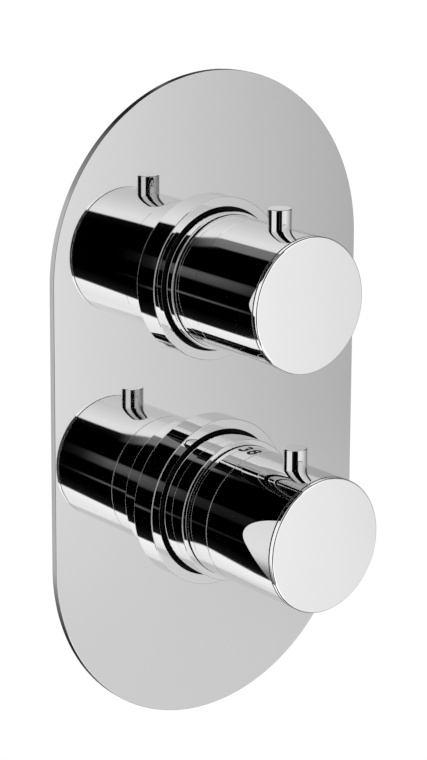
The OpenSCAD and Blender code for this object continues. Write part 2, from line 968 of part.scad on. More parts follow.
// Tube that carries the water ports and the rubber rings.
module cartridge_housing()
{
    window_r = bridge_bore / 3;
    groove_r = cartridge_r - ring_cord_d - push_gap;
    groove_half = ring_cord_d / 2 + run_gap;
    slot_back = nut_back - slide_travel - face_gap;
    color(plastic)
    on_axis(-lower_z)
        difference() {
            rod(housing_r, housing_end, nut_thread);
            rod(housing_bore_r, chamber_end, nut_thread + over);
            for (a = [0 : 90 : 270])
                rotate([0, 0, a]) {
                    spoke(port_d / 2, housing_bore_r - over, housing_r + over, -hot_depth, 0);
                    spoke(port_d / 2, housing_bore_r - over, housing_r + over, -cold_depth, 0);
                    spoke(window_r, housing_bore_r - over, housing_r + over, -bridge_depth, 0);
                }
            for (f = ring_places)
                ring(housing_r + over, groove_r, f - groove_half, f + groove_half);
            for (s = [-1, 1])
                translate([s * key_r / 2 - key_r / 2, -stem_w / 2, slot_back])
                    cube([key_r + face_gap, stem_w, nut_thread + over - slot_back]);
        }
}

ring_front = -cold_depth + port_d;
ring_middle = -(hot_depth + cold_depth) / 2;
ring_back = -(hot_depth + port_d / 2 + bridge_depth - bridge_bore / 3) / 2;
ring_places = [ring_front, ring_middle, ring_back];

// Three rubber rings on the cartridge.
module cartridge_rings()
{
    color(rubber)
    on_axis(-lower_z)
        for (f = ring_places)
            cord_ring(cartridge_r - ring_cord_d / 2 - push_gap / 2, ring_cord_d / 2, f);
}

// Brass nut that screws into the barrel and holds the cartridge.
module cartridge_nut()
{
    color(brass)
    on_axis(-lower_z)
        difference() {
            union() {
                rod(cartridge_r - push_gap, nut_thread, lower_barrel + over);
                translate([0, 0, lower_barrel])
                    cylinder(d = nut_hex_d, h = nut_hex_t, $fn = 6);
            }
            rod(temp_r + run_gap, nut_thread - over, lower_barrel + nut_hex_t + over);
        }
}

// Slippery washer between the spindle's collar and the nut.
module bearing_washer()
{
    color(plastic)
    on_axis(-lower_z)
        ring(spindle_collar_r, temp_r + run_gap, spindle_collar_front, nut_thread);
}

temp_spline_end = lower_peg - stem_d;
temp_spline_start = temp_spline_end - 2 * temp_spindle_d;

// Spindle that screws the regulating nut back and forth.
module temperature_spindle()
{
    color(brass)
    on_axis(-lower_z)
        difference() {
            union() {
                rod(screw_thread_r, nut_back + over, spindle_collar_back + over);
                rod(spindle_collar_r, spindle_collar_back, spindle_collar_front);
                rod(temp_r, spindle_collar_back, temp_spline_start + over);
                spline(temp_r - push_gap, temp_spline_start, temp_spline_end);
            }
            rod(screw_r + push_gap, temp_spline_end - screw_depth, temp_spline_end + over);
        }
}

// Nut that travels in the housing, with a cup for the overload spring.
pin_hole_share = 0.8;
module regulating_nut()
{
    color(plastic)
    on_axis(-lower_z)
        difference() {
            union() {
                rod(cup_d / 2, cup_end, nut_back + over);
                rod(housing_bore_r - key_w / 2, nut_back, nut_front);
                translate([-key_r, -key_w / 2, nut_back])
                    cube([2 * key_r, key_w, regulating_nut_t]);
            }
            rod(screw_thread_r + run_gap, nut_back - over, nut_front + over);
            rod(cup_bore_r, cup_end + cup_lip, nut_back);
            rod(pin_d * pin_hole_share, cup_end - over, cup_end + cup_lip + over);
        }
}

// Plunger that passes the spring's force to the wax element's pin.
nose_share = 0.7;
module plunger()
{
    color(plastic)
    on_axis(-lower_z)
        union() {
            rod(cup_bore_r - run_gap, cup_end + cup_lip, cup_end + cup_lip + shuttle_wall);
            rod(pin_d * nose_share, pin_front, cup_end + cup_lip + over);
        }
}

// Spring that gives way when the water stays too hot.
module overload_spring()
{
    start = cup_end + cup_lip + shuttle_wall;
    color(steel)
    on_axis(-lower_z)
        translate([0, 0, start])
            coil_spring(cup_bore_r - overload_wire, nut_back - start, overload_wire, spring_turns);
}

// Wax element: a closed can with a flange and a push pin.
module wax_element()
{
    can_back = chamber_end + slide_travel + hub_gap;
    color([0.75, 0.5, 0.35])
    on_axis(-lower_z)
        union() {
            bevelled_rod(wax_d / 2, can_back, web_front + over, end_bevel, 0);
            rod(wax_d / 2 + spigot_wall, web_front, wax_flange_front);
            rod(pin_d / 2, web_front, pin_front);
        }
}

// Shuttle that opens one port while it closes the other.
web_holes = 6;
web_hole_share = 0.7;
module shuttle()
{
    flow_r_mid = (wax_d / 2 + shuttle_r - shuttle_wall) / 2;
    color(plastic)
    on_axis(-lower_z)
        union() {
            ring(shuttle_r, shuttle_r - shuttle_wall, shuttle_back, shuttle_front);
            difference() {
                rod(shuttle_r - shuttle_wall / 2, web_back, web_front);
                rod(wax_d / 2 + push_gap, web_back - over, web_front + over);
                for (i = [0 : web_holes - 1])
                    rotate([0, 0, 360 * i / web_holes])
                        translate([0, flow_r_mid, 0])
                            rod(shuttle_wall * web_hole_share, web_back - over, web_front + over);
            }
        }
}

// Spring that pushes the shuttle forwards.
module return_spring()
{
    end = web_back - slide_travel - face_gap;
    coil_r = shuttle_r - shuttle_wall - 4 * return_wire / 5;
    color(steel)
    on_axis(-lower_z)
        translate([0, 0, chamber_end])
            coil_spring(coil_r, end - chamber_end, return_wire, spring_turns);
}

// Places of the release button, measured out from the handle's axis
flange_sink = 0.21;
button_seat = shell_bore_r + flange_sink;
flange_r = button_flange_d / 2;
flange_low = button_seat - button_flange_t;
stop_r = stop_tube_d / 2;
stop_tube_wall = button_travel - face_gap;
stop_bore_r = stop_r - stop_tube_wall;
catch_top = stop_r - run_gap;
catch_low = stop_bore_r + run_gap;
catch_r = peg_r - face_gap;
hub_cup_bore = catch_top + spigot_wall;
hub_cup_r = hub_cup_bore + spigot_wall;
stop_front = lower_peg - stem_d / 2 - face_gap;
stop_back = lower_peg - catch_r - hub_gap;
tooth_bite = sqrt(catch_r * catch_r - (lower_peg - stop_front) * (lower_peg - stop_front));
tooth_start = atan(tooth_bite / catch_low) + 2 * asin(face_gap / stop_tube_d);
lower_web_back = lower_peg + flange_r + hub_gap;
lower_web_front = lower_web_back + spigot_len;

// Fixed tube on the cartridge nut, with the tooth that stops the handle at 38 degrees.
module temperature_stop()
{
    foot_back = lower_barrel + nut_hex_t;
    tooth_r = stop_r - push_gap;
    color(plastic)
    on_axis(-lower_z)
        difference() {
            union() {
                rod(stop_foot_d / 2, foot_back, foot_back + spigot_wall);
                rod(stop_r, foot_back, stop_back);
                intersection() {
                    rod(tooth_r, stop_back - over, stop_front);
                    rotate([0, 0, 90 + tooth_start])
                        sector(stop_tube_d, stop_tooth_angle, stop_back - over, stop_front);
                }
            }
            rod(stop_bore_r, foot_back - over, stop_front + over);
        }
}

// Wedge from the axis, from angle zero to the given angle.
module sector(r, angle, f0, f1)
{
    translate([0, 0, f0])
        linear_extrude(height = f1 - f0)
            polygon([[0, 0], [r, 0], [r * cos(angle), r * sin(angle)]]);
}

// Hub of the temperature handle, with a cup that the button's spring stands on.
module lower_handle_hub()
{
    f_back = temp_spline_start + temp_spindle_d;
    slot_w = stem_d + 2 * face_gap;
    cup_back = lower_peg - catch_r;
    color(plastic)
    on_axis(-lower_z)
        difference() {
            union() {
                hub_core(f_back, temp_spline_end, lower_web_front, temp_r);
                ring(shell_bore_r - push_gap, hub_r - push_gap, lower_web_back, lower_web_front);
                ring(hub_cup_r, hub_cup_bore, cup_back, lower_web_back + over);
            }
            translate([-slot_w / 2, hub_cup_bore - over, cup_back - over])
                cube([slot_w, 2 * over + spigot_wall, lower_peg + over - cup_back]);
            spoke(slot_w / 2, hub_cup_bore - over, hub_cup_r + over, lower_peg, 0);
        }
}

module lower_handle_screw()
{
    color(steel)
    on_axis(-lower_z)
        hub_screw(temp_spline_end);
}

// Ring with the temperature mark, held in the shell by a spigot.
module scale_ring()
{
    spigot_r = shell_bore_r - push_gap;
    spigot_bore_r = spigot_r - spigot_wall;
    spigot_back = scale_ring_end - spigot_len;
    color(chrome)
    on_axis(-lower_z)
        union() {
            shell_tube(lower_shell_back, scale_ring_end, seam_bevel, hairline_bevel);
            ring(spigot_r, spigot_bore_r, spigot_back, scale_ring_end + spigot_len);
            ring(shell_bore_r + spigot_wall / 4, spigot_bore_r, spigot_back, spigot_back + spigot_len / 2);
        }
}

module lower_handle_shell()
{
    color(chrome)
    on_axis(-lower_z)
        difference() {
            shell_tube(scale_ring_end, lower_seam, hairline_bevel, seam_bevel);
            spoke(peg_r + run_gap, shell_bore_r - over, handle_r + over, lower_peg, 0);
            spoke(flange_r + face_gap, hub_cup_r, button_seat, lower_peg, 0);
        }
}

module lower_handle_cap()
{
    color(chrome)
    on_axis(-lower_z)
        end_cap(lower_end);
}

// Button that frees the handle from the stop when it is pressed.
module release_button()
{
    color(chrome)
    on_axis(-lower_z)
        translate([0, 0, lower_peg])
            rotate([-90, 0, 0])
                union() {
                    bevelled_rod(peg_r, button_seat - seam_bevel, peg_top, 0, peg_bevel);
                    rod(flange_r, flange_low, button_seat);
                    rod(stem_d / 2, catch_low, flange_low + seam_bevel);
                    rod(catch_r, catch_low, catch_top);
                }
}

// Spring that holds the button out.
module button_spring()
{
    color(steel)
    on_axis(-lower_z)
        translate([0, hub_cup_r, lower_peg])
            rotate([-90, 0, 0])
                coil_spring(stem_d / 2 + 2 * button_wire, flange_low - hub_cup_r, button_wire, spring_turns);
}

faceplate();
faceplate_gasket();
flow_body();
thermostat_body();
link_pipe();
hot_check_valve();
cold_check_valve();
hot_inlet_filter();
cold_inlet_filter();
upper_collar();
lower_collar();
upper_collar_seal();
lower_collar_seal();
upper_sleeve();
lower_sleeve();
headwork_body();
headwork_washer();
flow_spindle();
moving_ceramic_disc();
fixed_ceramic_disc();
headwork_lip_seal();
upper_handle_hub();
upper_handle_screw();
upper_handle_shell();
upper_handle_cap();
upper_handle_peg();
cartridge_housing();
cartridge_rings();
cartridge_nut();
bearing_washer();
temperature_spindle();
regulating_nut();
overload_spring();
plunger();
wax_element();
shuttle();
return_spring();
temperature_stop();
lower_handle_hub();
lower_handle_screw();
scale_ring();
lower_handle_shell();
lower_handle_cap();
release_button();
button_spring();
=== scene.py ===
import json
import math

import bmesh
import bpy
from mathutils import Matrix, Vector


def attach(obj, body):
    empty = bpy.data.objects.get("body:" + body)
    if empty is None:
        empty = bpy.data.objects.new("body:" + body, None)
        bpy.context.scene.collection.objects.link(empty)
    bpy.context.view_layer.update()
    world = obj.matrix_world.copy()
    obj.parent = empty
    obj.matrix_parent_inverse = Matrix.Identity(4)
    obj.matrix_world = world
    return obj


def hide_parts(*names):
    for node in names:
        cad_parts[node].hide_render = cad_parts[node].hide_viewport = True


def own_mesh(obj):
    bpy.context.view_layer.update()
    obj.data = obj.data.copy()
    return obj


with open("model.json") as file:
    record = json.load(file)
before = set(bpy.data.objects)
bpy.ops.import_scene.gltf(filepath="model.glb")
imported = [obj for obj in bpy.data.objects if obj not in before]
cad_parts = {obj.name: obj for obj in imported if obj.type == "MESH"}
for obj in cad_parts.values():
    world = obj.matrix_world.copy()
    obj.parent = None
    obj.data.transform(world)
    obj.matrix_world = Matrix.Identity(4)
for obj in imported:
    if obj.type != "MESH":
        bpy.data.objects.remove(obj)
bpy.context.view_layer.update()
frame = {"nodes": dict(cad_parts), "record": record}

# The camera: a long lens, in front of the valve, to its left and a little above it.
# The wall is the plane Y = 0, with X to the right along it and Z up. MM turns millimetres into
# the metres of the scene.
MM = 0.001
scene = bpy.context.scene
scene.view_settings.view_transform = "Standard"

camera_azimuth = math.radians(38.882)
camera_elevation = math.radians(12.645)
camera_roll = math.radians(0.313)
camera_distance = 870.35 * MM
camera_target = Vector((0.943, -2.4, 63.594)) * MM
camera_lens = 113.55
camera_film = 36
camera_shift = -0.2
ahead = Vector((
    math.sin(camera_azimuth) * math.cos(camera_elevation),
    math.cos(camera_azimuth) * math.cos(camera_elevation),
    -math.sin(camera_elevation),
))
level_right = Vector((math.cos(camera_azimuth), -math.sin(camera_azimuth), 0))
level_up = level_right.cross(ahead)
right = level_right * math.cos(camera_roll) + level_up * math.sin(camera_roll)
up = level_up * math.cos(camera_roll) - level_right * math.sin(camera_roll)
camera_data = bpy.data.cameras.new("camera")
camera_data.lens = camera_lens
camera_data.sensor_width = camera_film
camera_data.shift_y = camera_shift
camera = bpy.data.objects.new("camera", camera_data)
scene.collection.objects.link(camera)
camera.matrix_world = Matrix((right, up, -ahead)).transposed().to_4x4()
camera.matrix_world.translation = camera_target - ahead * camera_distance
scene.camera = camera

# The surround: a pale room that the chrome mirrors, with a wide dark opening behind the camera.
# Tilt is the angle from the direction that faces the wall's front, and clock is the angle round it
# from straight up. To the camera the room is a plain white backdrop.
world = bpy.data.worlds.new("studio")
scene.world = world
world.use_nodes = True
tree = world.node_tree
tree.nodes.clear()
brightest = 1.6
plain_grey = 0.95


def link(tree, source, target):
    """Joins one node socket to another."""
    tree.links.new(source, target)


def calc(tree, operation, *values):
    """Adds a Math node and returns its output. Each value is a number or a socket."""
    node = tree.nodes.new("ShaderNodeMath")
    node.operation = operation
    for socket, value in zip(node.inputs, values):
        if isinstance(value, (int, float)):
            socket.default_value = value
        else:
            link(tree, value, socket)
    return node.outputs[0]


def ramp(tree, value, stops):
    """Adds a Color Ramp through (place, brightness) stops and returns its colour output."""
    node = tree.nodes.new("ShaderNodeValToRGB")
    elements = node.color_ramp.elements
    while len(elements) > 1:
        elements.remove(elements[-1])
    for i, (place, grey) in enumerate(stops):
        element = elements[0] if i == 0 else elements.new(place)
        element.position = place
        element.color = (grey, grey, grey, 1)
    link(tree, value, node.inputs["Fac"])
    return node.outputs["Color"]


def turn(degrees):
    """A clock angle as a share of the whole turn from -180 to 180."""
    return (degrees + 180) / 360


def lit(stops, place):
    """Ramp stops from (degrees, brightness), with the brightness as a share of the brightest."""
    return [(place(degrees), grey / brightest) for degrees, grey in stops]


def half_turn(degrees):
    """A tilt angle as a share of its range from 0 to 180."""
    return degrees / 180


def blend(tree, share, first, second, way="MIX"):
    """Mixes two colours and returns the mixed one."""
    node = tree.nodes.new("ShaderNodeMix")
    node.data_type = "RGBA"
    node.blend_type = way
    link(tree, share, node.inputs["Factor"])
    for value, socket in ((first, node.inputs["A"]), (second, node.inputs["B"])):
        if isinstance(value, tuple):
            socket.default_value = value
        else:
            link(tree, value, socket)
    return node.outputs["Result"]


direction = tree.nodes.new("ShaderNodeTexCoord").outputs["Generated"]
split = tree.nodes.new("ShaderNodeSeparateXYZ")
link(tree, direction, split.inputs[0])
bearing = calc(tree, "ARCTAN2", split.outputs["X"], split.outputs["Z"])
clock = calc(tree, "MULTIPLY_ADD", bearing, 0.5 / math.pi, 0.5)
towards_front = calc(tree, "MULTIPLY", split.outputs["Y"], -1.0)
tilt = calc(tree, "DIVIDE", calc(tree, "ARCCOSINE", towards_front), math.pi)
top_edge = ramp(tree, tilt, [(half_turn(degrees), turn(edge)) for degrees, edge in (
    (37.5, -18), (38.4, -15), (40, -14), (40.4, -6), (40.6, 1.5), (42.8, 3), (43.7, 8), (45, 8),
    (60, 0),
)])
low_edge = ramp(tree, tilt, [(half_turn(degrees), turn(edge)) for degrees, edge in (
    (37.7, -145), (39.3, -151), (40.9, -157), (42.3, -156.5), (42.9, -146), (44.6, -162),
    (60, -150),
)])
upper_half = calc(tree, "GREATER_THAN", clock, turn(-75))
past_top = calc(tree, "ADD", calc(tree, "SUBTRACT", clock, top_edge), 0.5)
past_low = calc(tree, "ADD", calc(tree, "SUBTRACT", clock, low_edge), 0.5)
above = ramp(tree, past_top, lit([
    (-14, 0.0), (-1, 0.006), (0.5, 1.2), (10, 1.22), (22, 1.11), (35, 1.0), (52, 0.88),
    (70, 0.82), (100, 0.74), (118, 0.76), (130, 0.92), (142, 1.02), (166, 1.15), (180, 1.27),
], turn))
below = ramp(tree, past_low, lit([
    (-28, 1.27), (-13, 1.37), (-1, 1.47), (0.5, 0.018), (8, 0.008), (22, 0.0),
], turn))
front = blend(tree, upper_half, below, above)
strips = ramp(tree, clock, lit([
    (-112, 0), (-110.5, 0.2), (-109.5, 0.2), (-108, 0),
    (-84, 0), (-81, 0.1), (-72, 0.15), (-67, 0.14), (-65, 0),
], turn))
strips_seen = ramp(tree, tilt, [(half_turn(degrees), share) for degrees, share in (
    (39.3, 0), (40.1, 1), (41.3, 0.8), (41.9, 0.2), (43, 0.1),
)])
top_strip = ramp(tree, past_top, lit([(-19, 0), (-17, 0.24), (-1, 0.28), (0, 0)], turn))
top_strip_seen = ramp(tree, tilt, [(half_turn(degrees), share) for degrees, share in (
    (40.2, 0), (40.6, 1), (42.3, 1), (42.7, 0.1), (60, 0),
)])
belt = ramp(tree, clock, lit([
    (-180, 0.03), (-165, 0.09), (-145, 0.3), (-138, 0.45), (-125, 0.85), (-112, 0.95), (-60, 0.9),
    (-49, 0.6), (-16, 0.24), (0, 0.03), (28, 0.03), (37, 0.2), (42, 0.2), (46, 0.03), (80, 0.1),
    (100, 0.3), (120, 0.3), (150, 0.2), (165, 0.1), (180, 0.03),
], turn))
front_seen = ramp(tree, tilt, [(half_turn(degrees), share) for degrees, share in (
    (20, 0), (23, 1), (71, 1), (74, 0),
)])
belt_seen = ramp(tree, tilt, [(half_turn(degrees), share) for degrees, share in (
    (71, 0), (74, 1), (146, 1), (154, 0),
)])
for strip, seen in ((strips, strips_seen), (top_strip, top_strip_seen)):
    front = blend(tree, seen, front, strip, "LIGHTEN")
plain = (plain_grey / brightest, plain_grey / brightest, plain_grey / brightest, 1)
surround = blend(tree, front_seen, plain, front)
surround = blend(tree, belt_seen, surround, belt)
studio = tree.nodes.new("ShaderNodeBackground")
studio.inputs["Strength"].default_value = brightest
link(tree, surround, studio.inputs["Color"])
backdrop = tree.nodes.new("ShaderNodeBackground")
backdrop.inputs["Color"].default_value = (1, 1, 1, 1)
path = tree.nodes.new("ShaderNodeLightPath")
through = calc(tree, "MAXIMUM", path.outputs["Is Transmission Ray"], path.outputs["Is Diffuse Ray"])
choose = tree.nodes.new("ShaderNodeMixShader")
link(tree, calc(tree, "MAXIMUM", path.outputs["Is Camera Ray"], through), choose.inputs["Fac"])
link(tree, studio.outputs[0], choose.inputs[1])
link(tree, backdrop.outputs[0], choose.inputs[2])
link(tree, choose.outputs[0], tree.nodes.new("ShaderNodeOutputWorld").inputs["Surface"])

# The soft panel: a flat sheet of light close to the valve on the right, whose edges fade out.
# It is brighter on its left, and so grades the plate and the end faces from left to right.
panel_w = 300 * MM
panel_h = 460 * MM
panel_far = 250 * MM
panel_drop = 40 * MM
panel_fade = 30 * MM
slope_low = -110 * MM
slope_high = 30 * MM
level_low = -100 * MM
level_high = 40 * MM
low_slope, high_slope = -0.3, -2.5
low_level, high_level = 0.765, 0.715
mirror_line = Vector((ahead.x, -ahead.y, ahead.z))
panel_side = Vector((math.cos(camera_azimuth), math.sin(camera_azimuth), 0))
panel_up = panel_side.cross(-mirror_line)
if panel_up.z < 0:
    panel_up = -panel_up
bm = bmesh.new()
bmesh.ops.create_grid(bm, x_segments=1, y_segments=1, size=0.5)
bmesh.ops.scale(bm, vec=(panel_w, panel_h, 1), verts=bm.verts)
panel_mesh = bpy.data.meshes.new("soft_panel")
bm.to_mesh(panel_mesh)
bm.free()
panel = bpy.data.objects.new("soft_panel", panel_mesh)
scene.collection.objects.link(panel)
panel_axes = Matrix((panel_side, panel_up, panel_side.cross(panel_up)))
panel.matrix_world = panel_axes.transposed().to_4x4()
panel.matrix_world.translation = mirror_line * panel_far - panel_up * panel_drop
panel_light = bpy.data.materials.new("panel_light")
panel_light.use_nodes = True
tree = panel_light.node_tree
tree.nodes.clear()
place = tree.nodes.new("ShaderNodeSeparateXYZ")
link(tree, tree.nodes.new("ShaderNodeTexCoord").outputs["Object"], place.inputs[0])


def graded(tree, value, low, high, first, last):
    """Maps a value from low to high onto first to last, smoothly and held at both ends."""
    node = tree.nodes.new("ShaderNodeMapRange")
    node.interpolation_type = "SMOOTHSTEP"
    link(tree, value, node.inputs["Value"])
    ends = {"From Min": low, "From Max": high, "To Min": first, "To Max": last}
    for socket, number in ends.items():
        node.inputs[socket].default_value = number
    return node.outputs["Result"]


height = place.outputs["Y"]
slope = graded(tree, height, slope_low, slope_high, low_slope, high_slope)
level = graded(tree, height, level_low, level_high, low_level, high_level)
grey = calc(tree, "MULTIPLY_ADD", place.outputs["X"], slope, level)
across = calc(tree, "ABSOLUTE", place.outputs["X"])
along = calc(tree, "ABSOLUTE", height)
side_mask = graded(tree, across, panel_w / 2 - panel_fade, panel_w / 2, 1, 0)
end_mask = graded(tree, along, panel_h / 2 - panel_fade, panel_h / 2, 1, 0)
glow = tree.nodes.new("ShaderNodeEmission")
link(tree, grey, glow.inputs["Strength"])
clear = tree.nodes.new("ShaderNodeBsdfTransparent")
fade = tree.nodes.new("ShaderNodeMixShader")
link(tree, calc(tree, "MULTIPLY", side_mask, end_mask), fade.inputs["Fac"])
link(tree, clear.outputs[0], fade.inputs[1])
link(tree, glow.outputs[0], fade.inputs[2])
link(tree, fade.outputs[0], tree.nodes.new("ShaderNodeOutputMaterial").inputs["Surface"])
panel_mesh.materials.append(panel_light)
panel.visible_camera = False
panel.visible_diffuse = False
panel.visible_shadow = False


# The blotches: soft, uneven patches from handling, which every finish on the valve has a little of.
# The group gives them as a mask, between the two colours and the two roughnesses of a finish.
blotch_detail = 5
blotch_low, blotch_high = 0.35, 0.65
grain_detail = 4
grain_strength = 0.6
wear = bpy.data.node_groups.new("soft_blotches", "ShaderNodeTree")
wear.interface.new_socket("Size", in_out="INPUT", socket_type="NodeSocketFloat")
wear.interface.new_socket("Mask", in_out="OUTPUT", socket_type="NodeSocketFloat")
wear_in = wear.nodes.new("NodeGroupInput")
wear_out = wear.nodes.new("NodeGroupOutput")
place = wear.nodes.new("ShaderNodeTexCoord").outputs["Object"]
blotch = wear.nodes.new("ShaderNodeTexNoise")
blotch.inputs["Detail"].default_value = blotch_detail
link(wear, place, blotch.inputs["Vector"])
link(wear, wear_in.outputs["Size"], blotch.inputs["Scale"])
spread = wear.nodes.new("ShaderNodeMapRange")
spread.inputs["From Min"].default_value = blotch_low
spread.inputs["From Max"].default_value = blotch_high
link(wear, blotch.outputs[0], spread.inputs["Value"])
link(wear, spread.outputs["Result"], wear_out.inputs["Mask"])


def finish(name, colours, roughness, metallic=0.0, size=60.0, grain=0.0, grain_size=800.0):
    """A material whose colour and roughness vary with the blotches, over an optional grain."""
    material = bpy.data.materials.new(name)
    material.use_nodes = True
    nodes = material.node_tree
    shader = nodes.nodes["Principled BSDF"]
    shader.inputs["Metallic"].default_value = metallic
    group = nodes.nodes.new("ShaderNodeGroup")
    group.node_tree = wear
    group.inputs["Size"].default_value = size
    tint = nodes.nodes.new("ShaderNodeMix")
    tint.data_type = "RGBA"
    tint.inputs["A"].default_value = (*colours[0], 1)
    tint.inputs["B"].default_value = (*colours[1], 1)
    link(nodes, group.outputs["Mask"], tint.inputs["Factor"])
    link(nodes, tint.outputs["Result"], shader.inputs["Base Color"])
    rough = nodes.nodes.new("ShaderNodeMapRange")
    rough.inputs["To Min"].default_value = roughness[0]
    rough.inputs["To Max"].default_value = roughness[1]
    link(nodes, group.outputs["Mask"], rough.inputs["Value"])
    link(nodes, rough.outputs["Result"], shader.inputs["Roughness"])
    if grain:
        noise = nodes.nodes.new("ShaderNodeTexNoise")
        noise.inputs["Scale"].default_value = grain_size
        noise.inputs["Detail"].default_value = grain_detail
        link(nodes, nodes.nodes.new("ShaderNodeTexCoord").outputs["Object"], noise.inputs["Vector"])
        bump = nodes.nodes.new("ShaderNodeBump")
        bump.inputs["Distance"].default_value = grain
        bump.inputs["Strength"].default_value = grain_strength
        link(nodes, noise.outputs[0], bump.inputs["Height"])
        link(nodes, bump.outputs[0], shader.inputs["Normal"])
    return material


def dress(material, *names):
    """Gives CAD nodes a material."""
    for name in names:
        data = frame["nodes"][name].data
        data.materials.clear()
        data.materials.append(material)


# The floor: a plain pale sheet, well below the valve, which throws a little light up at it.
# The camera sees it as pure white, and the chrome doesn't mirror it.
floor_half = 3.0
floor_drop = 0.6
floor_mesh = bpy.data.meshes.new("floor")
bm = bmesh.new()
bmesh.ops.create_grid(bm, x_segments=1, y_segments=1, size=floor_half)
bmesh.ops.translate(bm, verts=bm.verts, vec=(0, 0, -floor_drop))
bm.to_mesh(floor_mesh)
bm.free()
floor = bpy.data.objects.new("floor", floor_mesh)
scene.collection.objects.link(floor)
floor_paint = finish("floor_paint", ((0.9, 0.9, 0.9), (0.86, 0.86, 0.86)), (0.7, 0.8), size=3.0)
nodes = floor_paint.node_tree
white = nodes.nodes.new("ShaderNodeEmission")
eye = nodes.nodes.new("ShaderNodeLightPath")
floor_mix = nodes.nodes.new("ShaderNodeMixShader")
link(nodes, eye.outputs["Is Camera Ray"], floor_mix.inputs["Fac"])
link(nodes, nodes.nodes["Principled BSDF"].outputs[0], floor_mix.inputs[1])
link(nodes, white.outputs[0], floor_mix.inputs[2])
link(nodes, floor_mix.outputs[0], nodes.nodes["Material Output"].inputs["Surface"])
floor_mesh.materials.append(floor_paint)
floor.visible_glossy = False

# The brass castings in the wall, sand cast and left rough outside, with a brazed pipe between them.
# Each inlet and the outlet has a half inch pipe thread, cut with a fourteen to the inch pitch.
cast_brass = finish("cast_brass", ((0.66, 0.47, 0.2), (0.78, 0.6, 0.3)), (0.32, 0.5),
                    metallic=1.0, size=90, grain=0.0004, grain_size=900)
dress(cast_brass, "flow_body", "thermostat_body", "link_pipe")
turned_brass = finish("turned_brass", ((0.82, 0.63, 0.3), (0.9, 0.72, 0.38)), (0.16, 0.28),
                      metallic=1.0, size=120, grain=0.00002, grain_size=1500)
thread_radius = 9.3 * MM
thread_depth = 0.45 * MM
inch = 25.4 * MM
threads_per_inch = 14
thread_pitch = inch / threads_per_inch
thread_steps = 40
thread_flank = 0.42
thread_root = 0.05 * MM
run_out = 0.25
widest_bevel = 0.7 * MM
bevel_segments = 5
weld = 0.0001 * MM
crease = math.radians(28)


def blank():
    """An empty bmesh whose edges can carry a bevel weight."""
    bm = bmesh.new()
    bm.edges.layers.float.new("bevel_weight_edge")
    return bm


def soften(bm, edges, width):
    """Marks edges for the Bevel modifier, as a share of its width."""
    weight = bm.edges.layers.float["bevel_weight_edge"]
    for edge in edges:
        edge[weight] = width / widest_bevel


def build(name, bm, material, body, replaced):
    """Turns a bmesh into a piece that stands for CAD nodes. Edges past the crease stay sharp."""
    bmesh.ops.remove_doubles(bm, verts=bm.verts, dist=weld)
    bmesh.ops.recalc_face_normals(bm, faces=bm.faces)
    weight = bm.edges.layers.float["bevel_weight_edge"]
    softened = any(edge[weight] for edge in bm.edges)
    for face in bm.faces:
        face.smooth = True
    for edge in bm.edges:
        if len(edge.link_faces) == 2 and not edge[weight]:
            edge.smooth = edge.calc_face_angle() < crease
    mesh = bpy.data.meshes.new(name)
    bm.to_mesh(mesh)
    bm.free()
    mesh.materials.append(material)
    piece = bpy.data.objects.new(name, mesh)
    scene.collection.objects.link(piece)
    if softened:
        bevel = piece.modifiers.new("soft_edges", "BEVEL")
        bevel.limit_method = "WEIGHT"
        bevel.width = widest_bevel
        bevel.segments = bevel_segments
        bevel.harden_normals = True
        bevel.use_clamp_overlap = False
    if replaced:
        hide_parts(*replaced)
    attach(piece, body)
    return piece


def spiral_thread(name, mouth, outward, length):
    """A right-hand ridge in a pipe thread, spun inwards from its mouth and run out at both ends."""
    turns = length / thread_pitch - 1
    half = thread_flank * thread_pitch * (1 + thread_root / thread_depth)
    base = thread_radius + thread_root
    bm = blank()
    row = [bm.verts.new((radius, 0, shift - thread_pitch / 2))
           for radius, shift in ((base, half), (thread_radius - thread_depth, 0), (base, -half))]
    edges = [bm.edges.new(pair) for pair in zip(row, row[1:] + row[:1])]
    bmesh.ops.spin(bm, geom=row + edges, cent=(0, 0, 0), axis=(0, 0, 1), angle=-2 * math.pi * turns,
                   dvec=(0, 0, -thread_pitch / thread_steps), steps=int(turns * thread_steps))
    bmesh.ops.holes_fill(bm, edges=[edge for edge in bm.edges if edge.is_boundary])
    for vert in bm.verts:
        if vert.co.xy.length < thread_radius:
            done = -vert.co.z / thread_pitch - 0.5
            rise = max(0, min(1, done / run_out, (turns - done) / run_out))
            vert.co.xy *= (thread_radius - thread_depth * rise) / vert.co.xy.length
    place = Matrix.Translation(mouth) @ outward.to_track_quat("Z", "Y").to_matrix().to_4x4()
    bmesh.ops.transform(bm, matrix=place, verts=bm.verts)
    build(name, bm, turned_brass, "body", [])


for name in ("hot_inlet", "cold_inlet", "outlet"):
    mount = next(m for m in frame["record"]["mounts"] if m["name"] == name)
    bore_length = mount["dims"]["length_mm"] * MM
    spiral_thread(name + "_thread", Vector(mount["pos_m"]), Vector(mount["axis"]), bore_length)

# The check valves and the filters in the two inlets. The valves are moulded in white acetal.
# The filters are pressed from fine steel sheet, and each is pushed in on top of its check valve.
white_plastic = finish("white_plastic", ((0.78, 0.78, 0.75), (0.86, 0.86, 0.83)), (0.35, 0.5),
                       metallic=0, size=100, grain=0.00002)
dress(white_plastic, "hot_check_valve", "cold_check_valve")
steel = finish("stainless_steel", ((0.52, 0.53, 0.54), (0.62, 0.63, 0.64)), (0.22, 0.38),
               metallic=1.0, size=200, grain=0.00001, grain_size=2500)
dress(steel, "hot_inlet_filter", "cold_inlet_filter")

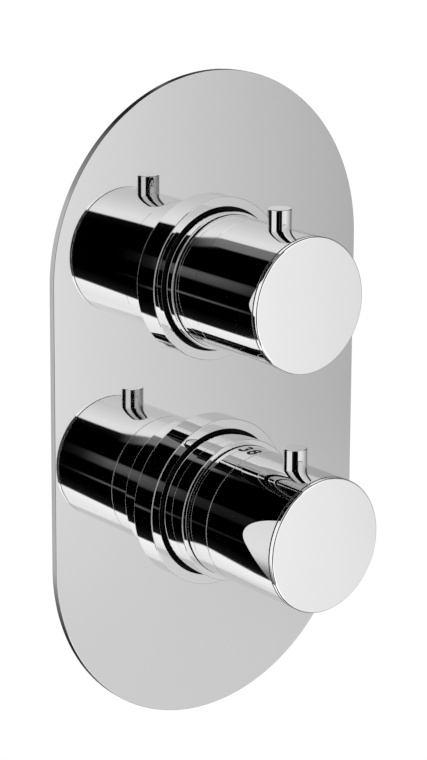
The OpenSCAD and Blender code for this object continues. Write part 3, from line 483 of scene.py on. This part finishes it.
# The gasket between the faceplate and the tiles: one ring of closed cell foam, cut from sheet.
# It is stuck in the channel at the back of the faceplate.
foam = finish("foam", ((0.07, 0.07, 0.075), (0.13, 0.13, 0.14)), (0.85, 0.95),
              metallic=0, size=300, grain=0.0003, grain_size=2200)
dress(foam, "faceplate_gasket")

# The faceplate is pressed from brass sheet, and its front is polished and chromed.
# Its edge is buffed a little, and its back is left satin, with a channel for the gasket.
chrome_plate = finish("chrome_plate", ((0.765, 0.765, 0.765), (0.775, 0.775, 0.775)),
                      (0.022, 0.028), metallic=1.0, size=14)
buffed_edge = finish("buffed_edge", ((0.46, 0.46, 0.46), (0.5, 0.5, 0.5)), (0.07, 0.11),
                     metallic=1.0, size=60)
satin_back = finish("satin_back", ((0.46, 0.46, 0.46), (0.5, 0.5, 0.5)), (0.2, 0.28),
                    metallic=1.0, size=60)
plate_w = 140 * MM
plate_h = 243 * MM
plate_t = 2.4 * MM
plate_edge = 0.3 * MM
plate_rim = 3 * MM
gasket_w = 8 * MM
gasket_t = 1.2 * MM
upper_z = 45.7 * MM
lower_z = -39.3 * MM
plate_hole = 22.6 * MM
end_steps = 128
hole_steps = 192


def rim(bm, profile):
    """The plate's rim: (inset, distance) corners, spun round the ends, with straights between."""
    middle = (plate_h - plate_w) / 2
    halves = []
    for side in (1, -1):
        row = [bm.verts.new((side * (plate_w / 2 - inset), -front, side * middle))
               for inset, front in profile]
        first = [bm.edges.new(pair) for pair in zip(row, row[1:])]
        half = bmesh.ops.spin(bm, geom=row + first, cent=(0, 0, side * middle), axis=(0, -1, 0),
                              angle=math.pi, steps=end_steps)
        last = [part for part in half["geom_last"] if isinstance(part, bmesh.types.BMEdge)]
        halves.append((first, last))
    bmesh.ops.bridge_loops(bm, edges=halves[0][1] + halves[1][0])
    bmesh.ops.bridge_loops(bm, edges=halves[1][1] + halves[0][0])


def hole_loop(bm, radius, front, height):
    """A circle that faces the front."""
    turned_up = Matrix.Translation((0, -front, height)) @ Matrix.Rotation(math.pi / 2, 4, "X")
    ring = bmesh.ops.create_circle(bm, segments=hole_steps, radius=radius, matrix=turned_up)
    return list({edge for vert in ring["verts"] for edge in vert.link_edges})


bm = blank()
channel = plate_rim + gasket_w
rim(bm, [
    (0, plate_t), (0, 0), (plate_rim, 0), (plate_rim, gasket_t), (channel, gasket_t), (channel, 0),
])
open_edges = [edge for edge in bm.edges if len(edge.link_faces) == 1]
front_rim = [edge for edge in open_edges if edge.verts[0].co.y < -plate_t / 2]
back_rim = [edge for edge in open_edges if edge.verts[0].co.y > -plate_t / 2]
front_holes = [hole_loop(bm, plate_hole, plate_t, z) for z in (upper_z, lower_z)]
back_holes = [hole_loop(bm, plate_hole, 0, z) for z in (upper_z, lower_z)]
for near, far in zip(front_holes, back_holes):
    bmesh.ops.bridge_loops(bm, edges=near + far)
for face in bm.faces:
    face.material_index = 1
bmesh.ops.triangle_fill(bm, use_beauty=True, normal=(0, -1, 0),
                        edges=front_rim + front_holes[0] + front_holes[1])
bmesh.ops.triangle_fill(bm, use_beauty=True, normal=(0, 1, 0),
                        edges=back_rim + back_holes[0] + back_holes[1])
for face in bm.faces:
    if all(abs(vert.co.y) < plate_t / 2 for vert in face.verts):
        face.material_index = 2
soften(bm, front_rim, plate_edge)
plate = build("polished_faceplate", bm, chrome_plate, "body", ["faceplate"])
plate.data.materials.append(buffed_edge)
plate.data.materials.append(satin_back)

# The collars screw on the barrels and clamp the plate, each over a rubber ring.
# They are turned from brass bar and chromed, with a deep gap round the sleeve inside, whose faces
# carry painted shade.
rubber = finish("black_rubber", ((0.015, 0.015, 0.015), (0.03, 0.03, 0.03)), (0.5, 0.7),
                metallic=0, size=200, grain=0.00005)
dress(rubber, "upper_collar_seal", "lower_collar_seal")
chrome_turned = finish("chrome_turned", ((0.765, 0.765, 0.765), (0.78, 0.78, 0.78)), (0.0, 0.02),
                       metallic=1.0, size=25)
# Painted shade: a near-black material for the faces inside the gaps, bores and joints, where shade
# falls between the parts.
gap_shade_paint = finish("painted_gap_shade", ((0.005, 0.005, 0.005), (0.01, 0.01, 0.009)), (0.6, 0.75),
                  metallic=0, size=200)
turn_steps = 240
hair = 0.001 * MM
wall_depth = 0.2 * MM
barrel_r = 22.03 * MM
collar_flange = 2.2 * MM
seal_w = 3 * MM
seal_t = 1.2 * MM
collar_edge = 0.3 * MM
seam_edge = 0.3 * MM


def spun(name, corners, place, material, body, replaced,
         closed=True, steps=turn_steps, second=None):
    """Spins a profile of (radius, distance, rounding) corners round the Z axis, then places it.
    second is another material, and a test of the radius and distance of a face's middle for it."""
    bm = blank()
    row = [bm.verts.new((radius, 0, distance)) for radius, distance, rounding in corners]
    pairs = list(zip(row, row[1:])) + ([(row[-1], row[0])] if closed else [])
    edges = [bm.edges.new(pair) for pair in pairs]
    bmesh.ops.spin(bm, geom=row + edges, cent=(0, 0, 0), axis=(0, 0, 1), angle=2 * math.pi,
                   steps=steps, use_merge=True)
    bmesh.ops.remove_doubles(bm, verts=bm.verts, dist=weld)
    for radius, distance, rounding in corners:
        if rounding:
            on_corner = {v for v in bm.verts
                         if abs(v.co.z - distance) < hair and abs(v.co.xy.length - radius) < hair}
            soften(bm, [e for e in bm.edges if set(e.verts) <= on_corner], rounding)
    if second:
        for face in bm.faces:
            middle = face.calc_center_median()
            face.material_index = int(second[1](middle.xy.length, middle.z))
    bmesh.ops.transform(bm, matrix=place, verts=bm.verts)
    piece = build(name, bm, material, body, replaced)
    if second:
        piece.data.materials.append(second[0])
    return piece


def forward(height):
    """Turns the Z axis to the forward direction of a handle's axis."""
    return Matrix.Translation((0, 0, height)) @ Matrix.Rotation(math.pi / 2, 4, "X")


def collar(name, height, outer, bore, rise):
    """A collar: a flange on the plate, with a wall round the gap. The faces in the gap and behind
    it carry painted shade.
    """
    front = plate_t + rise
    flange = plate_t + collar_flange
    seal_r = barrel_r + seal_w
    spun(name + "_ring", [
        (outer, plate_t, 0), (outer, front, collar_edge), (bore, front, collar_edge),
        (bore, flange, 0), (barrel_r, flange, 0), (barrel_r, plate_t + seal_t, 0),
        (seal_r, plate_t + seal_t, 0), (seal_r, plate_t, 0),
    ], forward(height), chrome_turned, "body", [name], second=(
        gap_shade_paint, lambda radius, distance: radius < bore + hair and distance < front - hair))


upper_collar_rise = 5 * MM
lower_collar_rise = 5.3 * MM
collar("upper_collar", upper_z, outer=30.2 * MM, bore=26.6 * MM, rise=upper_collar_rise)
collar("lower_collar", lower_z, outer=31.5 * MM, bore=27.7 * MM, rise=lower_collar_rise)

# The sleeves stand on the collars' flanges and hide the barrels. They are turned brass, chromed.
# The handles turn just in front of them, with a narrow split between.
upper_sleeve_r = 25.5 * MM
lower_sleeve_r = 26.6 * MM
upper_sleeve_reach = 9.4 * MM
lower_sleeve_reach = 17.2 * MM
split_r = 24.6 * MM


def sleeve(name, height, outer, reach, collar_rise):
    """A plain sleeve from the collar's flange to the handle. Where it stands in the collar's gap,
    and on its inner faces, it carries painted shade.
    """
    back = plate_t + collar_flange
    front = plate_t + reach
    gap_end = plate_t + collar_rise
    spun(name + "_tube", [
        (outer, back, 0), (outer, gap_end, 0), (outer, front, seam_edge), (split_r, front, 0),
        (barrel_r, front, 0), (barrel_r, back, 0),
    ], forward(height), chrome_turned, "body", [name], second=(
        gap_shade_paint, lambda radius, distance: distance < gap_end or radius < split_r - wall_depth))


sleeve("upper_sleeve", upper_z, upper_sleeve_r, upper_sleeve_reach, upper_collar_rise)
sleeve("lower_sleeve", lower_z, lower_sleeve_r, lower_sleeve_reach, lower_collar_rise)

# The headwork: a turned brass body with a fibre washer, lapped ceramic discs and a rubber seat.
# It turns the water on and off in a quarter turn of the upper handle.
dress(turned_brass, "headwork_body", "flow_spindle")
fibre = finish("red_fibre", ((0.3, 0.05, 0.03), (0.42, 0.1, 0.06)), (0.6, 0.8),
               metallic=0, size=300, grain=0.00005)
dress(fibre, "headwork_washer")
ceramic = finish("ceramic", ((0.86, 0.83, 0.76), (0.92, 0.9, 0.84)), (0.12, 0.25),
                 metallic=0, size=150)
dress(ceramic, "moving_ceramic_disc", "fixed_ceramic_disc")
dress(rubber, "headwork_lip_seal")

# The thermostat: a moulded housing, shuttle and plunger, a copper wax element and steel springs.
# Rubber rings seal it, and its brass nut holds it in the lower barrel. The handles' hubs are
# moulded too, and are held on their spindles by steel screws.
dress(white_plastic, "cartridge_housing", "bearing_washer", "regulating_nut", "plunger")
dress(rubber, "cartridge_rings")
dress(turned_brass, "cartridge_nut", "temperature_spindle")
copper = finish("copper", ((0.72, 0.4, 0.26), (0.82, 0.5, 0.34)), (0.25, 0.4),
                metallic=1.0, size=150, grain=0.00001, grain_size=2000)
dress(copper, "wax_element")
dress(steel, "overload_spring", "return_spring")
grey_plastic = finish("grey_plastic", ((0.2, 0.205, 0.21), (0.26, 0.265, 0.27)), (0.45, 0.6),
                      metallic=0, size=120, grain=0.00003)
dress(grey_plastic, "shuttle", "temperature_stop", "upper_handle_hub", "lower_handle_hub")
dress(steel, "upper_handle_screw", "lower_handle_screw")

# The handle shells: thin brass tubes, polished and chromed, pressed on their hubs.
# The temperature handle's scale ring ends in a hairline joint, and the flow handle has a fine
# line like it.
handle_r = 24.5 * MM
shell_bore = 21.9 * MM
split_gap = 0.5 * MM
cap_rim = 1.7 * MM
seam_gap = 0.5 * MM
upper_reach = 55 * MM
lower_reach = 65 * MM
scale_reach = 28.4 * MM
line_reach = 20.6 * MM
line_half = 0.07 * MM
hairline_edge = 0.18 * MM
fine_edge = 0.1 * MM


def shell(name, height, back, front, back_edge, front_edge, body, node, line=None):
    """A tube between two places in front of the plate. It can have a fine line turned round it. Its
    bore carries painted shade.
    """
    turned_line = [(handle_r - dip, plate_t + line + shift, 0) for dip, shift in (
        (0, -line_half), (line_half, 0), (0, line_half))] if line else []
    spun(name, [
        (handle_r, plate_t + back, back_edge), *turned_line,
        (handle_r, plate_t + front, front_edge), (shell_bore, plate_t + front, 0),
        (shell_bore, plate_t + back, 0),
    ], forward(height), chrome_turned, body, [node],
         second=(gap_shade_paint, lambda radius, distance: radius < handle_r - wall_depth))


shell("upper_shell", upper_z, upper_sleeve_reach + split_gap, upper_reach - cap_rim - seam_gap,
      seam_edge, fine_edge, "flow_handle", "upper_handle_shell", line=line_reach)
shell("scale_ring_band", lower_z, lower_sleeve_reach + split_gap, scale_reach,
      seam_edge, hairline_edge, "temperature_handle", "scale_ring")
shell("lower_shell", lower_z, scale_reach, lower_reach - cap_rim - seam_gap,
      hairline_edge, fine_edge, "temperature_handle", "lower_handle_shell")

# The end caps: turned discs with a spigot that snaps in the shell.
# Their faces carry a painted highlight: a brighter copy of the chrome, with the same roughness.
# Painted highlight: the end faces and the pegs' tops get a near-white chrome colour, brighter than
# the rest of the chrome.
painted_highlight_chrome = finish("painted_highlight_chrome", ((0.985, 0.985, 0.985), (0.995, 0.995, 0.995)), (0.0, 0.02),
                     metallic=1.0, size=20)
end_edge = 0.7 * MM
spigot_len = 4 * MM
spigot_wall = 1.6 * MM
spigot_r = 21.87 * MM


def end_cap(name, height, reach, body, node):
    """A disc with a rounded rim in front of the seam, and its spigot behind it. Everything behind
    the seam carries painted shade.
    """
    front = plate_t + reach
    seam = front - cap_rim
    spigot_bore = spigot_r - spigot_wall
    spun(name, [
        (0, front, 0), (handle_r, front, end_edge), (handle_r, seam, fine_edge),
        (spigot_r, seam, 0), (spigot_r, seam - spigot_len, 0),
        (spigot_bore, seam - spigot_len, 0), (spigot_bore, seam, 0), (0, seam, 0),
    ], forward(height), painted_highlight_chrome, body, [node], closed=False,
         second=(gap_shade_paint, lambda radius, distance: distance < seam + hair))


end_cap("upper_end_face", upper_z, upper_reach, "flow_handle", "upper_handle_cap")
end_cap("lower_end_face", lower_z, lower_reach, "temperature_handle", "lower_handle_cap")

# The grip peg and the release button: short turned pins, chromed.
# The peg is screwed in its hub. The button is sprung, and its foot catches the temperature stop.
peg_r = 4.3 * MM
peg_rise = 7.4 * MM
peg_edge = 0.4 * MM
peg_setback = 17 * MM
peg_seat = 0.9 * MM
peg_steps = 96
stud_r = 2.5 * MM
stud_len = 10 * MM
button_seat = 22.11 * MM
button_flange_r = 5.2 * MM
button_flange_t = 1.2 * MM
stem_r = 1.8 * MM
catch_low = 10.86 * MM
catch_top = 12.44 * MM
catch_r = 4 * MM
peg_foot = handle_r - peg_seat
peg_top = handle_r + peg_rise


def pin(name, height, reach, corners, body, node):
    """Spins a pin, upright on a handle. Its corners' distances are from the handle's axis. Its flat
    top carries the painted highlight of the end faces.
    """
    place = Matrix.Translation((0, -(plate_t + reach - peg_setback), height))
    spun(name, corners, place, chrome_turned, body, [node], closed=False, steps=peg_steps,
         second=(painted_highlight_chrome, lambda radius, distance: distance > peg_top - hair))


pin("grip_peg", upper_z, upper_reach, [
    (0, peg_top, 0), (peg_r, peg_top, peg_edge), (peg_r, peg_foot, 0), (stud_r, peg_foot, 0),
    (stud_r, peg_foot - stud_len, 0), (0, peg_foot - stud_len, 0),
], "flow_handle", "upper_handle_peg")
flange_low = button_seat - button_flange_t
pin("stop_button", lower_z, lower_reach, [
    (0, peg_top, 0), (peg_r, peg_top, peg_edge), (peg_r, button_seat, 0),
    (button_flange_r, button_seat, 0), (button_flange_r, flange_low, 0), (stem_r, flange_low, 0),
    (stem_r, catch_top, 0), (catch_r, catch_top, 0), (catch_r, catch_low, 0), (0, catch_low, 0),
], "button", "release_button")

# The spring under the button: steel wire, coiled, with its foot on the hub's cup.
# It pushes the button out; here it is built at one fixed length.
spring_wire = 0.5 * MM
spring_r = 2.8 * MM
spring_foot = 15.64 * MM
spring_turns = 4
coil_steps = 36
wire_sides = 12
bm = blank()
upright = Matrix.Rotation(math.pi / 2, 4, "X")
across_wire = Matrix.Translation((spring_r, 0, spring_wire / 2)) @ upright
bmesh.ops.create_circle(bm, segments=wire_sides, radius=spring_wire / 2, matrix=across_wire)
spring_length = flange_low - spring_foot
rise = (spring_length - spring_wire) / (spring_turns * coil_steps)
bmesh.ops.spin(bm, geom=bm.verts[:] + bm.edges[:], cent=(0, 0, 0), axis=(0, 0, 1),
               dvec=(0, 0, rise), angle=2 * math.pi * spring_turns, steps=spring_turns * coil_steps)
bmesh.ops.holes_fill(bm, edges=[edge for edge in bm.edges if edge.is_boundary])
foot = Vector((0, -(plate_t + lower_reach - peg_setback), lower_z + spring_foot))
bmesh.ops.translate(bm, verts=bm.verts, vec=foot)
spring = build("button_coil", bm, steel, "temperature_handle", ["button_spring"])
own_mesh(spring)

# The temperature mark: the number 38 in black paint on the scale ring, read from the wall forwards.
# Each stroke is a flat line that follows the ring and stands a hair proud of it.
paint = finish("black_paint", ((0.004, 0.004, 0.004), (0.01, 0.01, 0.01)), (0.5, 0.65),
               metallic=0, size=300)
paint_shine = 0.1
paint.node_tree.nodes["Principled BSDF"].inputs["Specular IOR Level"].default_value = paint_shine
digit_stroke = 1.15 * MM
digit_places = {"3": 20.8 * MM, "8": 25.6 * MM}
bowl_shift = 1.25 * MM
top_radius = 1.15 * MM
low_radius = 1.35 * MM
paint_proud = 0.03 * MM
stroke_steps = 48
bowls = {
    "3": [(1, top_radius, 155, -90), (-1, low_radius, 90, -155)],
    "8": [(1, top_radius, 270, -90), (-1, low_radius, 90, 450)],
}


def bowl(bm, side, radius, start, end):
    """One round stroke of a digit, a flat band. X runs forwards and Y to the digit's top."""
    centre = Vector((0, side * bowl_shift, 0))
    first = math.radians(start)
    spoke = Vector((math.cos(first), math.sin(first), 0))
    half = digit_stroke / 2
    ends = [bm.verts.new(centre + spoke * reach) for reach in (radius - half, radius + half)]
    line = bm.edges.new(ends)
    bmesh.ops.spin(bm, geom=ends + [line], cent=centre, axis=(0, 0, 1),
                   angle=math.radians(end - start), steps=stroke_steps)


for digit, middle in digit_places.items():
    bm = blank()
    for stroke in bowls[digit]:
        bowl(bm, *stroke)
    for vert in bm.verts:
        round_ring = vert.co.y / handle_r
        reach = handle_r + paint_proud
        forwards = plate_t + middle + vert.co.x
        vert.co = (reach * math.sin(round_ring), -forwards, lower_z + reach * math.cos(round_ring))
    bmesh.ops.solidify(bm, geom=bm.faces[:], thickness=paint_proud)
    mark = build("mark_" + digit, bm, paint, "temperature_handle", [])
    mark.visible_glossy = False
